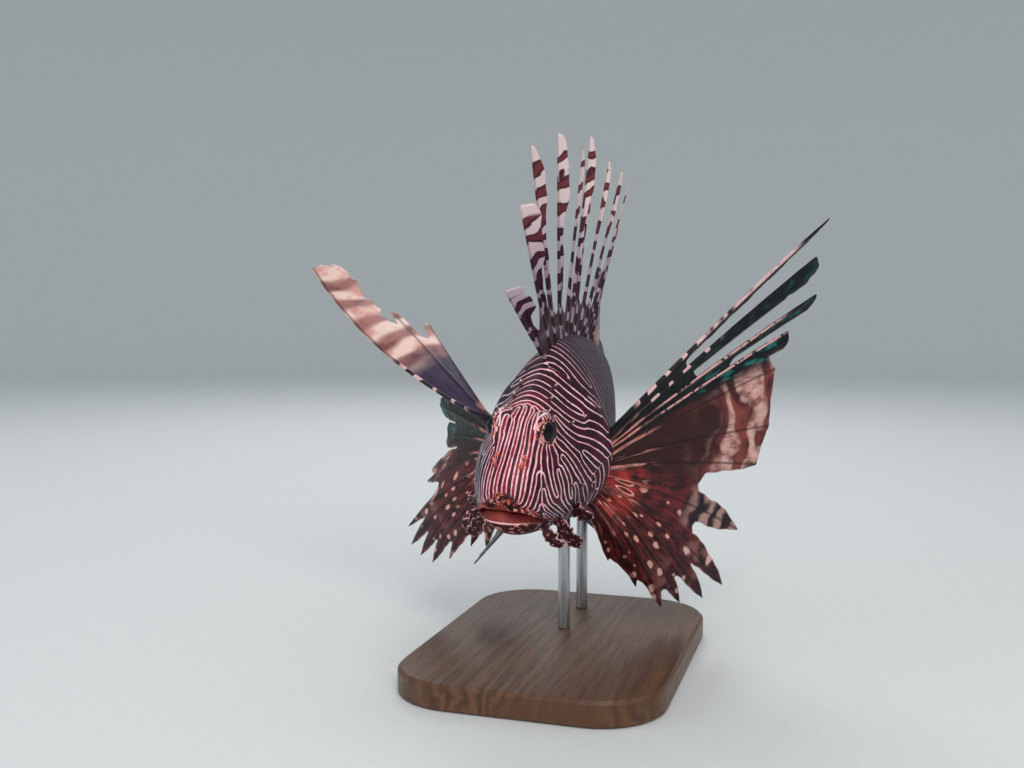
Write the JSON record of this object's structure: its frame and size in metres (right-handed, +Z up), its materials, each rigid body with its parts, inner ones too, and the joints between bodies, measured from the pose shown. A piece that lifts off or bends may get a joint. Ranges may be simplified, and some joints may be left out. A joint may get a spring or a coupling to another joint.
{
  "type": "red lionfish display model",
  "caption": "Life-size still model of a red lionfish, pectoral fins spread and dorsal spines raised, held over a flat wooden base by short steel rods.",
  "frame": {"origin": "centre of the underside of the stand's base", "axes": "+Z up, -Y towards the way the fish swims, +X towards the fish's left"},
  "size_m": [0.2836, 0.3015, 0.2587],
  "materials": {
    "skin": "cast and painted skin, dark maroon with thin pinkish white lines, satin varnish",
    "spined_fin": "painted spines and vanes, white and maroon bands, satin",
    "soft_fin": "thin clear-tinted membrane with rows of dark spots on the rays, satin",
    "pectoral_fin": "painted membrane in brown, maroon and pink bands with pale spots, satin",
    "pelvic_fin": "dark navy membrane with pale spots, satin",
    "eye": "clear domed eye, dark pupil, red brown iris, high gloss",
    "stand_wood": "walnut, planed and oiled",
    "stand_steel": "brushed stainless steel rod"
  },
  "bodies": {
    "root": {"head": "skin", "torso": "skin", "tail_stalk": "skin", "spiny_dorsal_fin": "spined_fin", "soft_dorsal_fin": "soft_fin", "anal_fin": "soft_fin", "caudal_fin": "soft_fin", "pectoral_fin_left": "pectoral_fin", "pectoral_fin_right": "pectoral_fin", "pelvic_fin_left": "pelvic_fin", "pelvic_fin_right": "pelvic_fin", "eye_left": "eye", "eye_right": "eye", "stand_base": "stand_wood", "stand_rod_front": "stand_steel", "stand_rod_rear": "stand_steel"}
  },
  "joints": []
}
